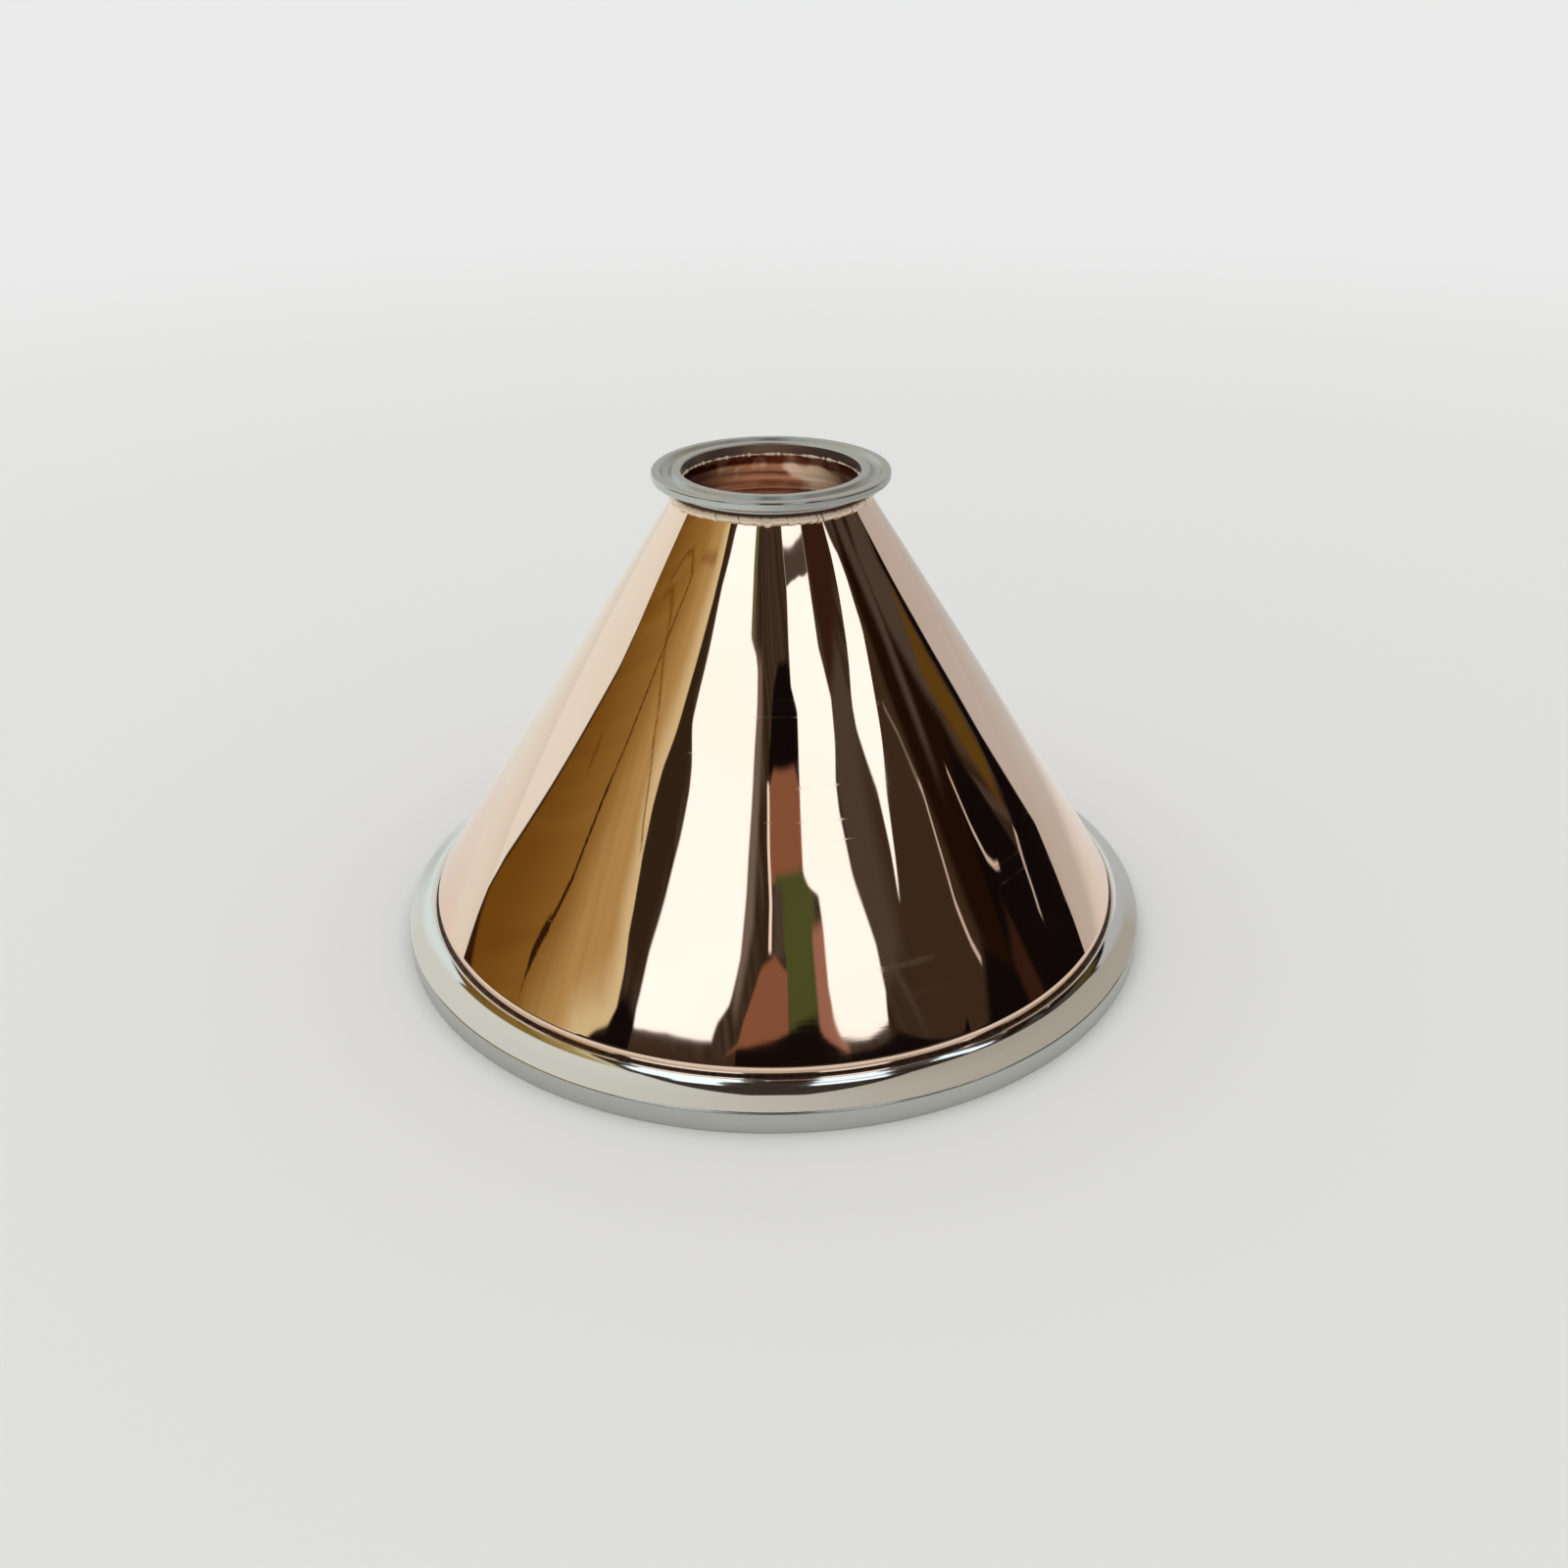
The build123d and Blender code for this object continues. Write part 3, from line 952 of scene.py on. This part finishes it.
def stainless(name, polished, satin_limits):
    """Polished steel that turns satin from the first distance to the second, in metres."""
    finish, shader, place = new_finish(name)
    x, y, _ = apart(place)
    satin = from_axis(x, y).ease(*satin_limits)
    turning = noise(ring_space(place, 25.0, 3200.0), 1.0, 2.0)
    smudge = noise(place, 55.0, 3.0)
    fill(shader, {
        "Metallic": 1.0,
        # Satin parts take the darker colour, which is painted shade.
        "Base Color": satin.tint(polished, SATIN_SHADED_STEEL),
        "Roughness": 0.045 + satin * 0.24 + turning * 0.03 + smudge * 0.03,
        "Normal": bumpy(turning, 0.05, 0.00005),
    })
    return finish


large_mesh.materials.append(stainless("stainless_large", STEEL, LARGE_SATIN))
small_mesh.materials.append(stainless("stainless_small", SHADED_STEEL, SMALL_SATIN))
print("satin outside", LARGE_SATIN[1], "m on the large one")
print("satin inside", SMALL_SATIN[1], "m on the small one")

# %% [markdown]
# The lower weld was ground flush. All that is left is a fine sunk line between the ferrule's neck
# and the copper skirt, a little uneven where the wheel missed.

# %% Lower seam
SEAM_MIDDLE = (LARGE_NECK_TOP + SKIRT_BOTTOM) / 2
SEAM_RECESS = 0.12
SEAM_INNER = 0.25
SEAM_DARK = (0.045, 0.030, 0.024, 1.0)
SEAM_LIGHT = (0.10, 0.065, 0.05, 1.0)
seam_outline = rounded_outline([
    (LARGE_NECK_RADIUS - SEAM_RECESS, LARGE_NECK_TOP, 0.02),
    (SKIRT_RADIUS - SEAM_RECESS, SEAM_MIDDLE, 0.05),
    (SKIRT_RADIUS, SKIRT_BOTTOM, 0.02),
    (LARGE_BORE, SKIRT_BOTTOM, 0.02),
    (LARGE_BORE - SEAM_INNER, SEAM_MIDDLE, 0.05),
    (LARGE_BORE, LARGE_NECK_TOP, 0.02),
], guard=0.01)
seam_mesh = turned_mesh("lower_seam_line", seam_outline, RING_TURNS)
add_piece(seam_mesh, "lower_weld_seam")
seam_finish, seam_shader, seam_spot = new_finish("dressed_seam")
fill(seam_shader, {
    "Metallic": 1.0,
    "Base Color": noise(seam_spot, 700.0, 3.0).ease(0.3, 0.7).tint(SEAM_DARK, SEAM_LIGHT),
    "Roughness": 0.30 + noise(seam_spot, 900.0, 2.0) * 0.2,
})
seam_mesh.materials.append(seam_finish)

# %% [markdown]
# The upper weld was left as it was laid: a row of overlapping scallops, pressed flat against the
# cone and a little longer in some places than in others. A noise on a plain torus would look like
# putty, so the ring is cut into lumps of random width. Each lump is round in plan, leans into the
# next one and sags by its own amount, and a painted shade for the crease between two and for the
# top under the neck is kept for the finish.

# %% Upper weld bead
BEAD_RADIUS = 26.25
BEAD_HEIGHT = 128.35
BEAD_TURNS = 1536
BEAD_SECTIONS = 30
BEAD_LUMPS = 58
BEAD_CREST = 1.42
BEAD_WAIST = 1.08
BEAD_LEAN = 0.020
BEAD_FLAT = 0.80
OVERLAP = 0.12
LUMP_WIDTHS = (0.5, 1.7)
CREST_SPREAD = (0.93, 1.03)
MOST_SAG = 0.6
bead_rng = np.random.default_rng(5)
widths = bead_rng.uniform(*LUMP_WIDTHS, BEAD_LUMPS)
starts = np.concatenate([[0.0], np.cumsum(widths / widths.sum())]) * 2 * math.pi
crest = BEAD_CREST * bead_rng.uniform(*CREST_SPREAD, BEAD_LUMPS)
sag = bead_rng.uniform(0.0, 1.0, BEAD_LUMPS) ** 2 * MOST_SAG
crease_shade_strength = bead_rng.uniform(0.0, 1.0, BEAD_LUMPS) ** 1.3
turn_angles = np.linspace(0, 2 * math.pi, BEAD_TURNS, endpoint=False)[:, None]
section = np.linspace(0, 2 * math.pi, BEAD_SECTIONS, endpoint=False)[None, :]
leaning = (turn_angles + BEAD_LEAN * np.sin(section)) % (2 * math.pi)
lump = np.clip(np.searchsorted(starts, leaning, side="right") - 1, 0, BEAD_LUMPS - 1)
inside_lump = (leaning - starts[lump]) / (starts[lump + 1] - starts[lump])
rise = np.clip(inside_lump / OVERLAP, 0, 1)
hump = rise * (2 - rise) * (1 - 0.7 * inside_lump ** 1.5)
girth = BEAD_WAIST + (crest[lump] - BEAD_WAIST) * hump
wall_out = np.array((math.cos(cone_angle), math.sin(cone_angle)))
wall_down = np.array((math.sin(cone_angle), -math.cos(cone_angle)))
out_part = girth * np.cos(section - cone_angle)
down_part = girth * np.sin(cone_angle - section)
droop = sag[lump] * np.sin(math.pi * inside_lump) ** 0.7
down_part = down_part + np.where(down_part > 0, droop * down_part, 0.0)
out_part = np.where(out_part > BEAD_FLAT, BEAD_FLAT + (out_part - BEAD_FLAT) * 0.5, out_part)
bead_heights = BEAD_HEIGHT + out_part * wall_out[1] + down_part * wall_down[1]
bead_radii = BEAD_RADIUS + out_part * wall_out[0] + down_part * wall_down[0]
bead_mesh = ring_mesh("weld_bead", bead_radii, bead_heights)
# Painted shade: darker where one lump starts over the last, and near the top under the neck.
shade_under_neck = np.clip((bead_heights - BEAD_HEIGHT - 0.15) / 0.9, 0, 1) * 0.8
dark = np.clip((1 - rise) * crease_shade_strength[lump] + shade_under_neck, 0, 1)
print("bead of", BEAD_LUMPS, "lumps, pitch", round(2 * math.pi * BEAD_RADIUS / BEAD_LUMPS, 2), "mm")

# %% [markdown]
# Where the collar ends inside the bore, the weld's root comes through as a thin rough bead. It is a
# second closed ring in the same mesh, so the weld stays one piece.

# %% Root of the weld
ROOT_TURNS = 720
ROOT_SECTIONS = 8
ROOT_RADIUS = SMALL_BORE + 0.10
ROOT_DARK = 0.1
ROOT_LUMP_TURNS = 4
root_rng = np.random.default_rng(23)
root_lumps = root_rng.uniform(0.0, 1.0, ROOT_TURNS // ROOT_LUMP_TURNS) ** 2 * 0.5 + 0.12
root_girth = np.repeat(root_lumps, ROOT_LUMP_TURNS)[:, None]
root_girth = (root_girth + np.roll(root_girth, 1, axis=0) + np.roll(root_girth, -1, axis=0)) / 3
root_section = np.linspace(0, 2 * math.pi, ROOT_SECTIONS, endpoint=False)[None, :]
root_mesh = ring_mesh("weld_root", ROOT_RADIUS + root_girth * np.cos(root_section),
                      COLLAR_TOP + root_girth * np.sin(root_section))
joined = bmesh.new()
joined.from_mesh(bead_mesh)
joined.from_mesh(root_mesh)
joined.to_mesh(bead_mesh)
joined.free()
bpy.data.meshes.remove(root_mesh)
bead_shade = bead_mesh.attributes.new("bead_shade", "FLOAT", "POINT")
values = np.concatenate([dark.reshape(-1), np.full(ROOT_TURNS * ROOT_SECTIONS, ROOT_DARK)])
bead_shade.data.foreach_set("value", values.astype(np.float32))
add_piece(bead_mesh, "upper_weld_bead")

# %% [markdown]
# The filler is a pale bronze, dull from heat. Its creases and its top under the neck are painted
# brown as shade. The shade number that was kept for each point of the mesh is read back here, and a
# noise roughens it.

# %% Bead finish
# The brown is painted shade, laid in the creases and under the neck.
FILLER = (0.88, 0.72, 0.56, 1.0)
SHADE_BROWN = (0.13, 0.05, 0.022, 1.0)
bead_finish, bead_shader, bead_spot = new_finish("filler_bead")
shade_map = bead_spot.node("ShaderNodeAttribute", {"attribute_name": "bead_shade"}, out="Fac")
painted_shade = (shade_map * 1.1 + noise(bead_spot, 420.0, 3.0) * 0.5).ease(0.36, 0.95)
fill(bead_shader, {
    "Metallic": 0.40,
    "Base Color": painted_shade.tint(FILLER, SHADE_BROWN),
    "Roughness": 0.30 + noise(bead_spot, 600.0, 2.0) * 0.16,
    "Normal": bumpy(noise(bead_spot, 900.0, 3.0), 0.25, 0.0001),
})
bead_mesh.materials.append(bead_finish)
print("bead finish in", len(bead_finish.node_tree.nodes), "nodes")
